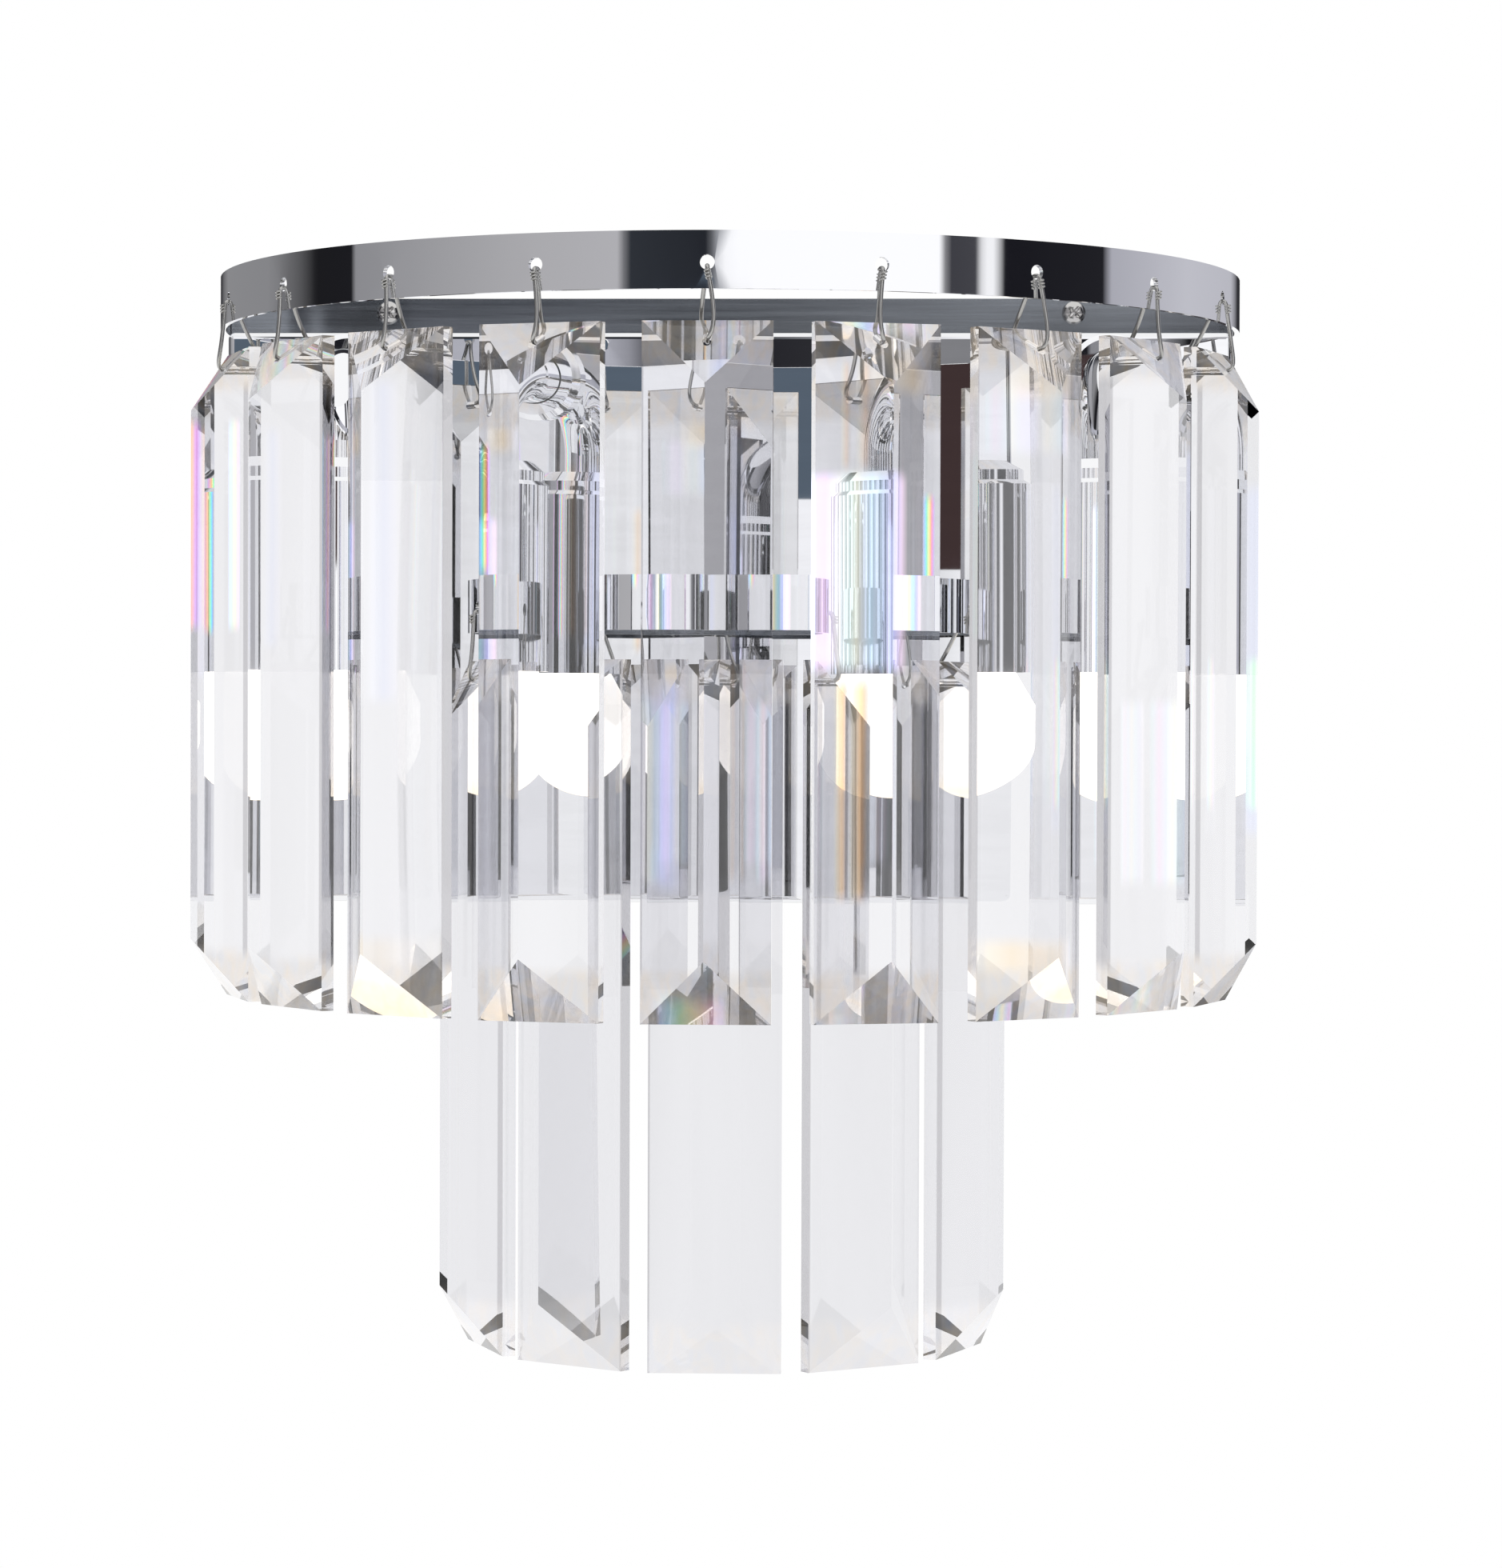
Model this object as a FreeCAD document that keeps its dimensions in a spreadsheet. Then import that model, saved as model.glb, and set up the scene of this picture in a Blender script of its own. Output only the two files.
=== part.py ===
import FreeCAD, Part
import math
import os

import Sketcher

# Crystal wall sconce. Millimetres, +Z up, the front faces -Y and the wall is the plane Y = 0.
# The origin is the middle of the two wall slots, on the wall.

SIZES = [
    # alias, value, what it is
    ("pan_width", 238.0, "back pan, side to side"),
    ("pan_height", 135.0, "back pan, bottom to top"),
    ("pan_depth", 16.0, "back pan, wall to front face"),
    ("pan_wall", 1.2, "sheet of the back pan"),
    ("pan_round", 1.6, "outside radius of the pan's front edges"),
    ("bracket_wall", 2.0, "sheet of the wall bracket"),
    ("bracket_plate_width", 100.0, "middle plate of the bracket"),
    ("bracket_plate_drop", 18.0, "middle plate below its slots"),
    ("bracket_bar_width", 190.0, "top bar of the bracket"),
    ("bracket_round", 3.0, "corner radius of the bracket"),
    ("slot_spacing", 60.0, "wall slots, middle to middle"),
    ("slot_length", 12.0, "wall slot, end to end"),
    ("slot_width", 4.5, "wall slot, across"),
    ("band_radius", 121.2, "upper band, outside radius"),
    ("band_height", 12.4, "both bands, bottom to top"),
    ("band_wall", 1.2, "sheet of both bands"),
    ("hook_hole_height", 5.6, "hook holes above a band's lower edge"),
    ("hook_hole_play", 2.2, "hook hole, wider than the wire"),
    ("upper_pitch", 17.8, "degrees between upper hooks"),
    ("lower_radius", 61.3, "lower band, outside radius"),
    ("lower_pitch", 34.5, "degrees between lower hooks"),
    ("lower_drop", 71.5, "lower band below the upper one"),
    ("strip_height", 9.0, "rear strips, bottom to top"),
    ("strip_wall", 1.2, "sheet of the rear strips"),
    ("strip_end_gap", 0.15, "strip ends to the inside of a band"),
    ("frame_screw_offset", 82.0, "upper strip screws from the middle"),
    ("lower_screw_offset", 40.0, "lower strip screws from the middle"),
    ("screw_dia", 3.0, "shank of the strip screws"),
    ("screw_head_dia", 5.6, "head of the strip screws"),
    ("screw_head_height", 1.9, "head of the strip screws"),
    ("screw_rim_height", 0.76, "straight rim of a screw head"),
    ("screw_crown_dia", 3.36, "flat crown of a screw head"),
    ("screw_end_gap", 0.2, "screw ends short of the wall"),
    ("screw_play", 0.4, "clear screw hole, wider than the shank"),
    ("tapped_play", 0.2, "tapped screw hole, wider than the shank"),
    ("crystal_drop", 6.6, "crystal tops below a band's lower edge"),
    ("crystal_edge", 3.0, "ground side faces of a crystal"),
    ("crystal_hole_depth", 4.8, "crystal hole below the top"),
    ("crystal_hole_play", 0.9, "crystal hole, wider than the wire"),
    ("upper_crystal_length", 150.0, "upper crystal, top to bottom"),
    ("upper_crystal_width", 28.0, "upper crystal, side to side"),
    ("upper_crystal_depth", 14.0, "upper crystal, back to ridge"),
    ("upper_crystal_bevel", 14.0, "upper crystal, end facets along the ridge"),
    ("lower_crystal_length", 160.0, "lower crystal, top to bottom"),
    ("lower_crystal_width", 30.0, "lower crystal, side to side"),
    ("lower_crystal_depth", 14.0, "lower crystal, back to ridge"),
    ("lower_crystal_bevel", 15.0, "lower crystal, end facets along the ridge"),
    ("wire_dia", 1.0, "hook wire"),
    ("wire_seat_gap", 0.15, "hook wire to the rim that it hangs on"),
    ("wire_side_gap", 0.5, "hook legs to the band and the crystal"),
    ("wire_end_gap", 0.5, "between the two ends of a hook's wire"),
    ("lamp_inset", 29.0, "lamp axis inside the pan's side"),
    ("lamp_depth", 40.0, "lamp axis from the wall"),
    ("arm_dia", 12.0, "lamp arm"),
    ("arm_bend", 17.0, "bend radius of the arm, on its axis"),
    ("arm_drop", 10.4, "arm axis below the pan's top"),
    ("arm_tail", 7.0, "threaded end of the arm behind the pan's front"),
    ("arm_hole_play", 0.4, "arm hole in the pan, wider than the arm"),
    ("nut_flats", 17.0, "arm nut, across its flats"),
    ("nut_height", 3.0, "arm nut"),
    ("nut_gap", 0.1, "arm nut's bore around the arm"),
    ("rosette_dia", 20.0, "ring round the arm on the pan's front"),
    ("rosette_height", 2.4, "ring round the arm on the pan's front"),
    ("rosette_bevel", 1.266667, "outer edge of that ring"),
    ("collar_dia", 25.0, "lamp collar"),
    ("collar_height", 4.6, "lamp collar"),
    ("collar_bevel", 2.3, "upper edge of the collar"),
    ("collar_gap", 0.1, "collar's bore around the arm"),
    ("sleeve_dia", 27.0, "lamp sleeve, outside"),
    ("sleeve_wall", 1.0, "lamp sleeve"),
    ("sleeve_length", 44.3, "lamp sleeve, top to mouth"),
    ("sleeve_drop", 36.2, "sleeve top below the pan's top"),
    ("socket_gap", 0.3, "socket inside the sleeve"),
    ("socket_floor", 5.0, "lamp socket above its bore"),
    ("cap_dia", 13.9, "screw cap of the bulb"),
    ("cap_length", 17.0, "screw cap of the bulb"),
    ("cap_tip_dia", 8.0, "contact of the bulb"),
    ("cap_tip_height", 2.2, "contact of the bulb"),
    ("cap_gap", 0.3, "screw cap inside the socket's bore"),
    ("bulb_dia", 28.0, "glass of the bulb"),
    ("bulb_reach", 30.1, "glass below the sleeve's mouth"),
    ("bulb_shoulder", 22.575, "glass below its shoulder"),
    ("bulb_mouth_gap", 1.5, "glass neck inside the sleeve's mouth"),
    ("terminal_width", 28.0, "terminal block"),
    ("terminal_height", 16.0, "terminal block"),
    ("terminal_depth", 9.0, "terminal block"),
    ("terminal_pitch", 9.0, "between the poles of the terminal block"),
    ("terminal_hole_dia", 3.2, "wire ways of the terminal block"),
    ("terminal_drop", 38.0, "terminal block below the middle of the pan"),
    ("earth_screw_offset", 42.0, "earth screw from the middle"),
]
UPPER_COUNT = 9
LOWER_COUNT = 5
SIDES = (("left", -1), ("right", 1))
MITRED_CORNERS = 1
VERTICAL_AXIS = -2
WIRE_FLATS = 8
NUT_SIDES = 6
FRONT = FreeCAD.Vector(0, -1, 0)
UP = FreeCAD.Vector(0, 0, 1)

doc = FreeCAD.newDocument("wall_sconce")
sheet = doc.addObject("Spreadsheet::Sheet", "Sizes")
subparts = []


class Dim:
    """A size with its number and the sheet's expression for it."""

    def __init__(self, value, text):
        self.value = value
        self.text = text

    def __add__(self, other):
        other = dim(other)
        return Dim(self.value + other.value, f"({self.text} + {other.text})")

    def __sub__(self, other):
        other = dim(other)
        return Dim(self.value - other.value, f"({self.text} - {other.text})")

    def __mul__(self, other):
        other = dim(other)
        return Dim(self.value * other.value, f"({self.text} * {other.text})")

    def __truediv__(self, other):
        other = dim(other)
        return Dim(self.value / other.value, f"({self.text} / {other.text})")

    def __neg__(self):
        return Dim(-self.value, f"(-1 * {self.text})")


def dim(number):
    if isinstance(number, Dim):
        return number
    return Dim(float(number), str(float(number)))


class Sizes:
    """The sheet's cells as attributes."""


def fill_sheet():
    for row, (alias, value, meaning) in enumerate(SIZES, start=1):
        sheet.set(f"A{row}", meaning)
        sheet.set(f"B{row}", str(value))
        sheet.setAlias(f"B{row}", alias)
        setattr(Sizes, alias, Dim(value, f"Sizes.{alias}"))
    doc.recompute()


fill_sheet()
S = Sizes

# Heights and depths that several pieces share.
PAN_TOP = S.pan_height / 2
UPPER_BAND_Z = PAN_TOP
LOWER_BAND_Z = PAN_TOP - S.lower_drop
FLANGE_DEPTH = S.bracket_wall + S.pan_wall
LAMP_X = S.pan_width / 2 - S.lamp_inset
ARM_Z = PAN_TOP - S.arm_drop
SLEEVE_TOP = PAN_TOP - S.sleeve_drop
SLEEVE_MOUTH = SLEEVE_TOP - S.sleeve_length
SCREW_Z = PAN_TOP + S.hook_hole_height


# ---------------------------------------------------------------- helpers

def bind(owner, **sizes):
    """Set each property to a size and tie it to the sheet."""
    for name, size in sizes.items():
        owner.setExpression(name, dim(size).text)


def place(piece, x=0, y=0, z=0, turn=0.0):
    """Stand a piece at a point, turned about the vertical by a number of degrees."""
    spot = [dim(x), dim(y), dim(z)]
    base = FreeCAD.Vector(*[size.value for size in spot])
    piece.Placement = FreeCAD.Placement(base, FreeCAD.Rotation(UP, turn))
    for axis, size in zip("xyz", spot):
        piece.setExpression(f"Placement.Base.{axis}", size.text)


def keep(piece, label):
    """Name a finished sub-part and put it on the list that is written out."""
    piece.Label = label
    subparts.append(piece)
    return piece


def body_named(label):
    body = doc.addObject("PartDesign::Body", label)
    return keep(body, label)


def origin_plane(body, role):
    return next(item for item in body.Origin.OriginFeatures if item.Role == role)


def sketch_on(body, role, lift=None):
    """A sketch on one of the body's planes, lifted along its normal."""
    sketch = body.newObject("Sketcher::SketchObject", f"{body.Name}_sketch")
    sketch.AttachmentSupport = (origin_plane(body, role), [""])
    sketch.MapMode = "FlatFace"
    if lift is not None:
        sketch.setExpression("AttachmentOffset.Base.z", lift.text)
    return sketch


def pin_point(sketch, line, end, x, y):
    """Hold one end of a sketch line, or a circle's centre, at its distances from the origin."""
    for kind, size in (("DistanceX", dim(x)), ("DistanceY", dim(y))):
        index = sketch.addConstraint(Sketcher.Constraint(kind, -1, 1, line, end, size.value))
        sketch.setExpression(f"Constraints[{index}]", size.text)


def outline(sketch, corners):
    """A closed outline of straight lines through corners."""
    spots = [(dim(x), dim(y)) for x, y in corners]
    points = [FreeCAD.Vector(x.value, y.value, 0) for x, y in spots]
    first = sketch.GeometryCount
    count = len(points)
    for index in range(count):
        line = Part.LineSegment(points[index], points[(index + 1) % count])
        sketch.addGeometry(line, False)
    for index in range(count):
        after = first + (index + 1) % count
        sketch.addConstraint(Sketcher.Constraint("Coincident", first + index, 2, after, 1))
    for index, (x, y) in enumerate(spots):
        pin_point(sketch, first + index, 1, x, y)


def box_outline(sketch, half_width, low, high, middle=0):
    middle = dim(middle)
    left = middle - half_width
    right = middle + half_width
    outline(sketch, [(left, low), (right, low), (right, high), (left, high)])


def circle(sketch, x, y, diameter):
    x, y, radius = dim(x), dim(y), dim(diameter) / 2
    centre = FreeCAD.Vector(x.value, y.value, 0)
    line = sketch.addGeometry(Part.Circle(centre, FreeCAD.Vector(0, 0, 1), radius.value), False)
    pin_point(sketch, line, 3, x, y)
    index = sketch.addConstraint(Sketcher.Constraint("Radius", line, radius.value))
    sketch.setExpression(f"Constraints[{index}]", radius.text)


def pad(body, sketch, length, reverse=False):
    feature = body.newObject("PartDesign::Pad", f"{body.Name}_pad")
    feature.Profile = sketch
    feature.Reversed = reverse
    bind(feature, Length=length)
    doc.recompute()
    return feature


def pocket(body, sketch, depth, reverse=False):
    """Cut a pocket, and make sure that it takes material away."""
    before = body.Shape.Volume
    feature = body.newObject("PartDesign::Pocket", f"{body.Name}_pocket")
    feature.Profile = sketch
    feature.Reversed = reverse
    bind(feature, Length=depth)
    doc.recompute()
    if not body.Shape.Volume < before:
        raise RuntimeError(f"a pocket of {body.Label} cuts nothing")
    return feature


def round_nose(sketch, radius, corners):
    """An outline that starts on the axis with a quarter circle and goes on through corners."""
    spots = [(radius, radius)] + corners + [(dim(0), corners[-1][1]), (dim(0), dim(0))]
    points = [FreeCAD.Vector(x.value, y.value, 0) for x, y in spots]
    for near, far in zip(points, points[1:]):
        sketch.addGeometry(Part.LineSegment(near, far), False)
    lines = len(points) - 1
    for index in range(1, lines):
        sketch.addConstraint(Sketcher.Constraint("Coincident", index - 1, 2, index, 1))
    for index, (x, y) in enumerate(spots[:-1]):
        pin_point(sketch, index, 1, x, y)
    pin_point(sketch, lines - 1, 2, 0, 0)
    centre = FreeCAD.Vector(0, radius.value, 0)
    ball = Part.Circle(centre, UP, radius.value)
    arc = sketch.addGeometry(Part.ArcOfCircle(ball, -math.pi / 2, 0), False)
    sketch.addConstraint(Sketcher.Constraint("PointOnObject", arc, 3, VERTICAL_AXIS))
    sketch.addConstraint(Sketcher.Constraint("Coincident", arc, 1, lines - 1, 2))
    sketch.addConstraint(Sketcher.Constraint("Coincident", arc, 2, 0, 1))


def turned(label, profile, nose=None):
    """A body turned about its own vertical axis from an outline of (radius, height) corners."""
    body = body_named(label)
    sketch = sketch_on(body, "XZ_Plane")
    if nose is None:
        outline(sketch, profile)
    else:
        round_nose(sketch, nose, profile)
    feature = body.newObject("PartDesign::Revolution", f"{body.Name}_turn")
    feature.Profile = sketch
    feature.ReferenceAxis = (sketch, ["V_Axis"])
    feature.Angle = 360.0
    doc.recompute()
    return body


def edges_where(shape, wanted):
    """Names of the edges whose middle point passes a test."""
    names = []
    for index, edge in enumerate(shape.Edges, start=1):
        middle = edge.valueAt((edge.FirstParameter + edge.LastParameter) / 2)
        if wanted(middle, edge):
            names.append(f"Edge{index}")
    return names


def round_edges(body, radius, wanted):
    base = body.Tip
    feature = body.newObject("PartDesign::Fillet", f"{body.Name}_round")
    feature.Base = (base, edges_where(base.Shape, wanted))
    bind(feature, Radius=radius)
    doc.recompute()
    return feature


def ring_spot(radius, angle, centre_depth):
    """A point on a band's circle, with the angle counted from the front."""
    turn = math.radians(angle)
    x = radius * math.sin(turn)
    y = -centre_depth - radius * math.cos(turn)
    return x, y


def hook_angles(count, pitch):
    middle = (count - 1) / 2
    return [(index - middle) * pitch for index in range(count)]


# ---------------------------------------------------------------- wall side

def outer_corner(middle, edge):
    """Straight edges along Y at the four ends of the bracket's bar and plate."""
    if len(edge.Vertexes) < 2 or edge.Curve.TypeId != "Part::GeomLine":
        return False
    along = edge.tangentAt(edge.FirstParameter)
    at_bar_end = abs(abs(middle.x) - S.bracket_bar_width.value / 2) < 0.01
    at_plate_foot = abs(middle.z + S.bracket_plate_drop.value) < 0.01
    return abs(along.y) > 0.99 and (at_bar_end or at_plate_foot)


def make_bracket():
    """A flat plate on the wall with two slots, and a bar that takes the frame's two screws."""
    body = body_named("wall_bracket")
    sketch = sketch_on(body, "XZ_Plane")
    plate = S.bracket_plate_width / 2
    bar = S.bracket_bar_width / 2
    top = PAN_TOP + S.strip_height
    corners = [(-plate, -S.bracket_plate_drop), (plate, -S.bracket_plate_drop), (plate, PAN_TOP)]
    corners += [(bar, PAN_TOP), (bar, top), (-bar, top), (-bar, PAN_TOP), (-plate, PAN_TOP)]
    outline(sketch, corners)
    pad(body, sketch, S.bracket_wall)
    round_edges(body, S.bracket_round, outer_corner)
    half_run = (S.slot_length - S.slot_width) / 2
    straights = sketch_on(body, "XZ_Plane")
    ends = sketch_on(body, "XZ_Plane")
    for side in (-1, 1):
        middle = S.slot_spacing * (side / 2)
        box_outline(straights, half_run, -S.slot_width / 2, S.slot_width / 2, middle)
        circle(straights, S.frame_screw_offset * side, SCREW_Z, S.screw_dia + S.tapped_play)
        for end in (-1, 1):
            circle(ends, middle + half_run * end, 0, S.slot_width)
    circle(straights, S.earth_screw_offset, 0, S.screw_dia + S.tapped_play)
    pocket(body, straights, S.bracket_wall, True)
    pocket(body, ends, S.bracket_wall, True)


def front_rim(middle, edge):
    """Edges round the pan's front face, and its four corners from front to back."""
    on_front = abs(middle.y + S.pan_depth.value) < 0.01
    at_side = abs(abs(middle.x) - S.pan_width.value / 2) < 0.01
    at_end = abs(abs(middle.z) - S.pan_height.value / 2) < 0.01
    return (on_front and (at_side or at_end)) or (at_side and at_end)


def make_pan():
    """A shallow open-backed sheet box, with a flange turned up behind the upper strip."""
    body = body_named("back_pan")
    half = S.pan_width / 2
    block = sketch_on(body, "XZ_Plane")
    box_outline(block, half, -PAN_TOP, PAN_TOP)
    pad(body, block, S.pan_depth)
    round_edges(body, S.pan_round, front_rim)
    hollow = sketch_on(body, "XZ_Plane")
    box_outline(hollow, half - S.pan_wall, -PAN_TOP + S.pan_wall, PAN_TOP - S.pan_wall)
    pocket(body, hollow, S.pan_depth - S.pan_wall, True)
    flange = sketch_on(body, "XZ_Plane", S.bracket_wall)
    flange_half = S.bracket_bar_width / 2
    box_outline(flange, flange_half, PAN_TOP - S.pan_wall, PAN_TOP + S.strip_height)
    pad(body, flange, S.pan_wall)
    notch = sketch_on(body, "XZ_Plane")
    box_outline(notch, flange_half + S.pan_wall, PAN_TOP - S.pan_wall, PAN_TOP)
    pocket(body, notch, S.bracket_wall, True)
    holes = sketch_on(body, "XZ_Plane", S.bracket_wall)
    for side in (-1, 1):
        circle(holes, S.frame_screw_offset * side, SCREW_Z, S.screw_dia + S.screw_play)
    pocket(body, holes, S.pan_wall, True)
    front = sketch_on(body, "XZ_Plane", S.pan_depth - S.pan_wall)
    for side in (-1, 1):
        circle(front, LAMP_X * side, ARM_Z, S.arm_dia + S.arm_hole_play)
        screw_z = LOWER_BAND_Z + S.hook_hole_height
        circle(front, S.lower_screw_offset * side, screw_z, S.screw_dia + S.tapped_play)
    pocket(body, front, S.pan_wall, True)


# ---------------------------------------------------------------- bands

def make_band(label, radius, base_z, centre_depth, count, pitch):
    """A half ring of flat strip on its edge, pierced round its front for the hooks."""
    body = body_named(label)
    ring = sketch_on(body, "XY_Plane")
    radii = (radius, radius - S.band_wall)
    centre = FreeCAD.Vector(0, 0, 0)
    for size in radii:
        whole = Part.Circle(centre, UP, size.value)
        arc = Part.ArcOfCircle(whole, math.pi, 2 * math.pi)
        line = ring.addGeometry(arc, False)
        ring.addConstraint(Sketcher.Constraint("Coincident", line, 3, -1, 1))
        ring.addConstraint(Sketcher.Constraint("PointOnObject", line, 1, -1))
        ring.addConstraint(Sketcher.Constraint("PointOnObject", line, 2, -1))
        index = ring.addConstraint(Sketcher.Constraint("Radius", line, size.value))
        ring.setExpression(f"Constraints[{index}]", size.text)
    for side, end in ((-1, 1), (1, 2)):
        near = FreeCAD.Vector(side * radii[1].value, 0, 0)
        far = FreeCAD.Vector(side * radii[0].value, 0, 0)
        line = ring.addGeometry(Part.LineSegment(near, far), False)
        ring.addConstraint(Sketcher.Constraint("Coincident", line, 1, 1, end))
        ring.addConstraint(Sketcher.Constraint("Coincident", line, 2, 0, end))
    pad(body, ring, S.band_height)
    angles = hook_angles(count, pitch.value)
    first, last = angles[0], angles[-1]
    hole = sketch_on(body, "XZ_Plane")
    hole.AttachmentOffset = turned_out(first, radius - S.band_wall * 2)
    circle(hole, 0, S.hook_hole_height, S.wire_dia + S.hook_hole_play)
    drill = pocket(body, hole, S.band_wall * 3, True)
    row = body.newObject("PartDesign::PolarPattern", f"{body.Name}_holes")
    row.Originals = [drill]
    row.Axis = (ring, ["N_Axis"])
    row.Angle = last - first
    row.Occurrences = count
    body.Tip = row
    doc.recompute()
    place(body, 0, -dim(centre_depth), base_z)


def turned_out(angle, distance):
    """A sketch frame that looks out from the ring's axis at an angle from the front."""
    turn = FreeCAD.Rotation(FreeCAD.Vector(0, 1, 0), angle)
    return FreeCAD.Placement(turn.multVec(FreeCAD.Vector(0, 0, distance.value)), turn)


def make_strip(label, radius, base_z, back_depth, screw_offset):
    """The flat strip that closes a half ring behind, with a hole for each of its screws."""
    body = body_named(label)
    sketch = sketch_on(body, "XZ_Plane")
    box_outline(sketch, radius - S.band_wall - S.strip_end_gap, dim(0), S.strip_height)
    for side in (-1, 1):
        circle(sketch, screw_offset * side, S.hook_hole_height, S.screw_dia + S.screw_play)
    pad(body, sketch, S.strip_wall)
    place(body, 0, -back_depth, base_z)


def make_screw(name):
    """A round-headed screw, its axis up and its head's seat at the origin."""
    shank = S.screw_dia / 2
    head = S.screw_head_dia / 2
    rise = S.screw_head_height
    length = FLANGE_DEPTH + S.strip_wall - S.screw_end_gap
    body = turned(name, [
        (0, -length), (shank, -length), (shank, 0), (head, 0), (head, S.screw_rim_height),
        (S.screw_crown_dia / 2, rise), (0, rise)])
    return body


def make_screw_pair(label, offset, z, face_depth):
    """Two screws seated on a strip's face, one each side of the middle."""
    screws = []
    for side, sign in SIDES:
        screw = make_screw(f"{label}_{side}")
        subparts.remove(screw)
        spot = FreeCAD.Vector((offset * sign).value, -face_depth.value, z.value)
        screw.Placement = FreeCAD.Placement(spot, FreeCAD.Rotation(UP, FRONT))
        screws.append(screw)
    pair = doc.addObject("Part::Compound", label)
    pair.Links = screws
    keep(pair, label)


# ---------------------------------------------------------------- crystals and hooks

def make_crystal(label, length, width, depth, bevel):
    """A ridged prism with side flats, a large triangular facet at each end of its ridge and a hole."""
    body = body_named(label)
    section = sketch_on(body, "XY_Plane")
    half = width / 2
    edge = S.crystal_edge
    outline(section, [(-half, 0), (-half, -edge), (0, -depth), (half, -edge), (half, 0)])
    pad(body, section, length, True)
    for end, inward in ((dim(0), -1), (-length, 1)):
        facet = sketch_on(body, "YZ_Plane", -width)
        outside = end + S.band_wall * -inward
        foot = end + bevel * inward
        corners = [(-edge, end), (-depth, foot), (-depth * 2, foot)]
        corners += [(-depth * 2, outside), (-edge, outside)]
        outline(facet, corners)
        pocket(body, facet, width * 2, True)
    hole = sketch_on(body, "XZ_Plane")
    circle(hole, 0, -S.crystal_hole_depth, S.wire_dia + S.crystal_hole_play)
    pocket(body, hole, depth, True)
    return body


def plumb_depth(crystal):
    """How far a crystal's centre of weight lies in front of its back."""
    return -crystal.Shape.Solids[0].CenterOfMass.y


def hang(body, radius, angle, centre_depth, band_z):
    """Hang a crystal so that its weight is plumb under its hook hole."""
    middle = radius.value - S.band_wall.value / 2
    x, y = ring_spot(middle - plumb_depth(body), angle, dim(centre_depth).value)
    z = band_z.value - S.crystal_drop.value
    body.Placement = FreeCAD.Placement(FreeCAD.Vector(x, y, z), FreeCAD.Rotation(UP, angle))


def wire_section(middle, radius):
    """The drawn wire's section: flats that stand as far from its axis as its radius."""
    reach = radius / math.cos(math.pi / WIRE_FLATS)
    points = []
    for index in range(WIRE_FLATS + 1):
        turn = math.pi * (2 * index + 1) / WIRE_FLATS
        points.append(middle + FreeCAD.Vector(reach * math.cos(turn), 0, reach * math.sin(turn)))
    return Part.makePolygon(points)


def wire_path(corners):
    """The wire's axis, as straight runs from corner to corner."""
    runs = [Part.LineSegment(near, far).toShape() for near, far in zip(corners, corners[1:])]
    return Part.Wire(runs)


def make_hook(label, crystal, width_at_hole, radius, angle, centre_depth, band_z):
    """A wire clip: over the rim of the band's hole, down both sides, and into the crystal's hole."""
    wire = S.wire_dia.value / 2
    apex = S.hook_hole_height - S.hook_hole_play / 2 + S.wire_seat_gap
    foot = S.crystal_hole_play / 2 - S.wire_seat_gap - S.crystal_drop - S.crystal_hole_depth
    rise = apex.value - foot.value
    head = S.band_wall.value / 2 + wire + S.wire_side_gap.value
    back = plumb_depth(crystal)
    lean = (back + wire + S.wire_side_gap.value - head) / (apex.value + S.crystal_drop.value)
    rear_foot = head + lean * rise
    front_foot = max(head, width_at_hole.value - back + wire + S.wire_side_gap.value)
    gap = S.wire_end_gap.value / 2
    route = [(gap, foot.value), (rear_foot, foot.value), (head, apex.value)]
    route += [(-head, apex.value), (-front_foot, foot.value), (-gap, foot.value)]
    corners = [FreeCAD.Vector(0, across, height) for across, height in route]
    piece = doc.addObject("Part::Feature", label)
    piece.Shape = wire_path(corners).makePipeShell(
        [wire_section(corners[0], wire)], True, False, MITRED_CORNERS)
    x, y = ring_spot(radius.value - S.band_wall.value / 2, angle, dim(centre_depth).value)
    spot = FreeCAD.Vector(x, y, band_z.value)
    piece.Placement = FreeCAD.Placement(spot, FreeCAD.Rotation(UP, angle))
    keep(piece, label)


def make_pendants(tier, count, pitch, radius, centre_depth, band_z):
    """The crystals of one band and their hooks."""
    length = getattr(S, f"{tier}_crystal_length")
    width = getattr(S, f"{tier}_crystal_width")
    depth = getattr(S, f"{tier}_crystal_depth")
    bevel = getattr(S, f"{tier}_crystal_bevel")
    at_hole = S.crystal_edge + (depth - S.crystal_edge) * S.crystal_hole_depth / bevel
    for number, angle in enumerate(hook_angles(count, pitch), start=1):
        crystal = make_crystal(f"{tier}_crystal_{number}", length, width, depth, bevel)
        make_hook(f"{tier}_hook_{number}", crystal, at_hole, radius, angle, centre_depth, band_z)
        hang(crystal, radius, angle, centre_depth, band_z)


# ---------------------------------------------------------------- lamps

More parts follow.
